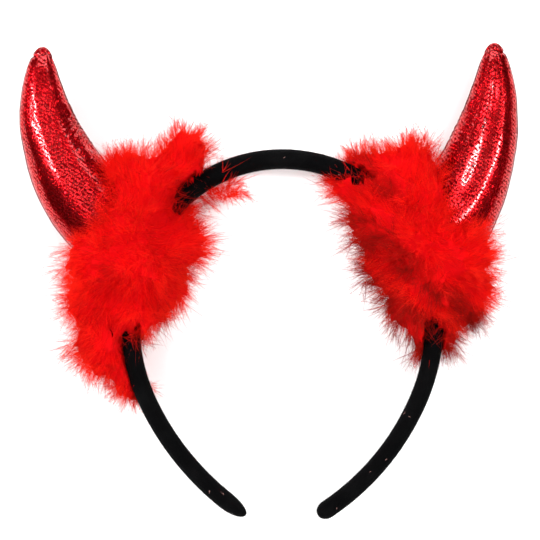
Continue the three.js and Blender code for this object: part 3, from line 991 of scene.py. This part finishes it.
def barb_lines(hand, shafts, random):
    """The barbs of the plumes, each as a row of points, with the way that it faces, whether it crosses the
    hoop, and its plume.
    """
    root, middle, tip, face, width = (column[:, None] for column in shafts)
    count = len(root)
    share = np.tile(np.linspace(BARB_FROM, 1, BARBS // 2).repeat(2), (count, 1))
    share = np.clip(share + random.normal(0, BARB_PLACE_SCATTER, share.shape), 0, 1)[..., None]
    side = np.tile([1.0, -1.0], BARBS // 2)[None, :, None]
    start = root * (1 - share) ** 2 + middle * 2 * share * (1 - share) + tip * share**2
    along = unit((middle - root) * (1 - share) + (tip - middle) * share)
    beside = unit(np.cross(face, along)) * side
    facing = unit(np.cross(along, beside)) * side
    widest, narrowing, power = BARB_SPREAD
    spread = np.radians(widest - narrowing * share**power + random.normal(0, BARB_SCATTER, share.shape))
    lift = random.normal(0, BARB_LIFT, share.shape)
    way = unit(np.cos(spread) * along + np.sin(spread) * beside + lift * facing)
    curl = aside_of(way, random) * random.uniform(*BARB_CURL, share.shape)
    turn = BARB_FOLLOWS * along + curl - np.array([0, 0, BARB_DROOP])
    long_share, longer = BARB_LONG
    long_ones = np.where(random.uniform(size=share.shape) < long_share, longer, 1)
    # The longest ones grow from the middle of the shaft
    shortest, more = BARB_SWELL
    swell_start, swell_turn = BARB_SWELL_TURN
    swell = shortest + more * np.sin(math.pi * (swell_start + swell_turn * share))
    length = BARB_LENGTH * width[..., None] * swell * random.uniform(*BARB_VARIES, share.shape) * long_ones
    chance = random.uniform(size=share.shape[:2])
    lines, in_hoop, crosses = kept_clear(drawn_line(start, way, turn, length), hand, chance)
    free = ~in_hoop[:, :, 1:].any(-1)
    plume = np.broadcast_to(np.arange(count)[:, None], free.shape)
    return lines[free], np.broadcast_to(facing, way.shape)[free], crosses[free], plume[free]


def barb_ribbons(lines, facing, shade, bare, random):
    """Each barb as a thin ribbon that narrows to a point."""
    along = unit(np.gradient(lines, axis=1))
    flat = unit(facing + random.normal(0, BARB_ROLL, facing.shape))[:, None]
    aside = unit(np.cross(along, flat))
    share = np.linspace(0, 1, BARB_POINTS)
    width = (BARB_WIDTH / 2 * (1 - BARB_TAPER * share))[None, :, None]
    left = (lines - aside * width)[:, :-1]
    right = (lines + aside * width)[:, :-1]
    count, rungs = left.shape[:2]
    points = np.concatenate([np.stack([left, right], 2).reshape(count, -1, 3), lines[:, -1:]], 1)
    rung = np.arange(rungs - 1)[:, None] * 2
    strip = np.concatenate([rung + [0, 1, 3], rung + [0, 3, 2]])
    strip = np.concatenate([strip, [[2 * rungs - 2, 2 * rungs - 1, 2 * rungs]]])
    triangles = (strip[None] + np.arange(count)[:, None, None] * (2 * rungs + 1)).reshape(-1, 3)
    place = np.append(np.repeat(share[:-1], 2), 1)
    # Darker towards the tip, and most of all on a bare barb
    root_shade, lighter = BARB_SHADE
    darker, bare_darker, power = BARB_DARKENS
    shades = root_shade + lighter * shade[:, None] - (darker + bare_darker * bare[:, None]) * place**power
    return points.reshape(-1, 3), triangles, np.clip(shades, 0, 1).ravel()


def barbule_hairs(lines, shade, bare, random):
    """The down on the barbs: each hair is one thin triangle."""
    count = len(lines)
    place = random.uniform(*BARBULE_PLACES, (count, BARBULES))
    at = place * (BARB_POINTS - 1)
    i = np.minimum(at.astype(int), BARB_POINTS - 2)
    part = (at - i)[..., None]
    row = np.arange(count)[:, None]
    low, high = lines[row, i], lines[row, i + 1]
    root = low + (high - low) * part
    along = unit(high - low)
    out = aside_of(along, random)
    way = unit(along * random.uniform(*BARBULE_FORWARD, part.shape) + out)
    length = BARBULE_LENGTH * (1 - BARBULE_TAPER * place[..., None])
    length = length * random.uniform(*BARBULE_VARIES, part.shape) * (1 - BARE_STRIPPED * bare[:, None, None])
    aside = aside_of(way, random) * BARBULE_WIDTH / 2
    points = np.stack([root - aside, root + aside, root + way * length], 2).reshape(-1, 3)
    points[:, 2] = np.maximum(points[:, 2], CLEARANCE / 2)
    darkest, by_barb, by_place = BARBULE_SHADE
    shades = by_place * place * random.uniform(0.5, 1, (count, BARBULES))
    shades += darkest + by_barb * shade[:, None]
    return points, np.arange(len(points)).reshape(-1, 3), np.repeat(shades.ravel(), 3)


def make_plumes(hand, core, material):
    random = np.random.default_rng(SEEDS[hand])
    shafts = plume_shafts(hand, random)
    lines, facing, crosses, plume = barb_lines(hand, shafts, random)
    coat, coat_facing, coat_crosses = coat_lines(hand, core, random)
    shade = random.uniform(size=len(shafts[0]))[plume]
    middle, differ = COAT_SHADE
    coat_shade = middle + differ * swirl(coat[:, 0], COAT_CLUMP, SWIRLS["coat_shade"])[:, 0]
    shade = np.append(shade, coat_shade)
    lines = np.concatenate([lines, coat])
    facing = np.concatenate([facing, coat_facing])
    reach = np.linalg.norm(np.diff(lines, axis=1), axis=-1).sum(-1)
    bare = np.maximum(smooth(reach, *BARE_LENGTH), np.append(crosses, coat_crosses))
    shade = np.clip((1 - OWN_SHADE) * shade + OWN_SHADE * random.uniform(size=len(lines)), 0, 1)
    # Painted shade: barbs on the side away from the light are darker
    shade -= painted_shading(hand, lines[:, 0])
    per_barb = 2 * (BARB_POINTS - 1) - 1 + BARBULES
    pieces = math.ceil(len(lines) * per_barb / MOST_TRIANGLES)
    for number, some in enumerate(np.array_split(random.permutation(len(lines)), pieces), 1):
        ribbons = barb_ribbons(lines[some], facing[some], shade[some], bare[some], random)
        hairs = barbule_hairs(lines[some], shade[some], bare[some], random)
        points = np.concatenate([ribbons[0], hairs[0]])
        triangles = np.concatenate([ribbons[1], hairs[1] + len(ribbons[0])])
        shades = np.concatenate([ribbons[2], hairs[2]])
        data = triangle_mesh("plumes", points, triangles, shade=shades)
        finish_piece(f"marabou_{hand}_plumes_{number}", data, material, "marabou", f"marabou_{hand}")


# The surface, the lights and the camera

def pale_surface():
    finish = Finish("surface")
    shader = finish.node("ShaderNodeBsdfPrincipled", None, {
        "Base Color": (0.96, 0.96, 0.96, 1),
        "Roughness": 0.9,
        "Specular IOR Level": 0.2,
    })
    mesh = bmesh.new()
    bmesh.ops.create_grid(mesh, x_segments=1, y_segments=1, size=3)
    data = bpy.data.meshes.new("surface")
    mesh.to_mesh(data)
    mesh.free()
    data.materials.append(finish.surface(shader))
    in_scene("surface", data)


# Soft boxes: where each hangs in metres, its width and height, and how bright it is
SOFT_BOXES = {
    "key_left": ((-1.05, 0.27, 1.15), (0.13, 0.85), 43),
    "key_left_far": ((-1.05, 0.52, 1.15), (0.08, 0.85), 43),
    "key_right": ((0.8, 0.25, 1.6), (0.2, 1.15), 37),
    "overhead": ((0, 0.1, 1.9), (1.6, 1.6), 0.45),
    "front": ((0, -1.9, 1.5), (3, 1.2), 3.4),
    "back": ((0, 2, 1.5), (3, 1.2), 3.4),
}


def light_studio():
    for name, (place, (width, height), brightness) in SOFT_BOXES.items():
        lamp = bpy.data.lights.new(name, "AREA")
        lamp.shape = "RECTANGLE"
        lamp.size = width
        lamp.size_y = height
        lamp.energy = brightness * math.pi * width * height
        box = in_scene(name, lamp)
        box.location = place
        box.rotation_euler = (-Vector(place)).to_track_quat("-Z", "Y").to_euler()
    world = bpy.data.worlds.new("studio")
    world.use_nodes = True
    world.node_tree.nodes["Background"].inputs["Color"].default_value = WORLD_COLOUR
    bpy.context.scene.world = world
    bpy.context.scene.view_settings.view_transform = "Standard"


def set_camera():
    """Straight above, as the photograph has it."""
    camera = bpy.data.cameras.new("camera")
    camera.lens = CAMERA_LENS
    camera.clip_start = 0.1
    view = in_scene("camera", camera)
    view.location = (Vector(CROWN_MIDDLE) + Vector((*FRAME_MIDDLE, CAMERA_HEIGHT))) * MM
    bpy.context.scene.camera = view


set_camera()
pale_surface()
light_studio()
make_hoop(velvet_finish())
make_pile(pile_finish())
foil_cloth = lame_finish()
down = marabou_finish("marabou_down", *DOWN_COLOURS)
feather = marabou_finish("marabou_feather", *FEATHER_COLOURS)
for hand in HALVES:
    make_horn(hand, foil_cloth)
    make_plumes(hand, make_core(hand, down), feather)
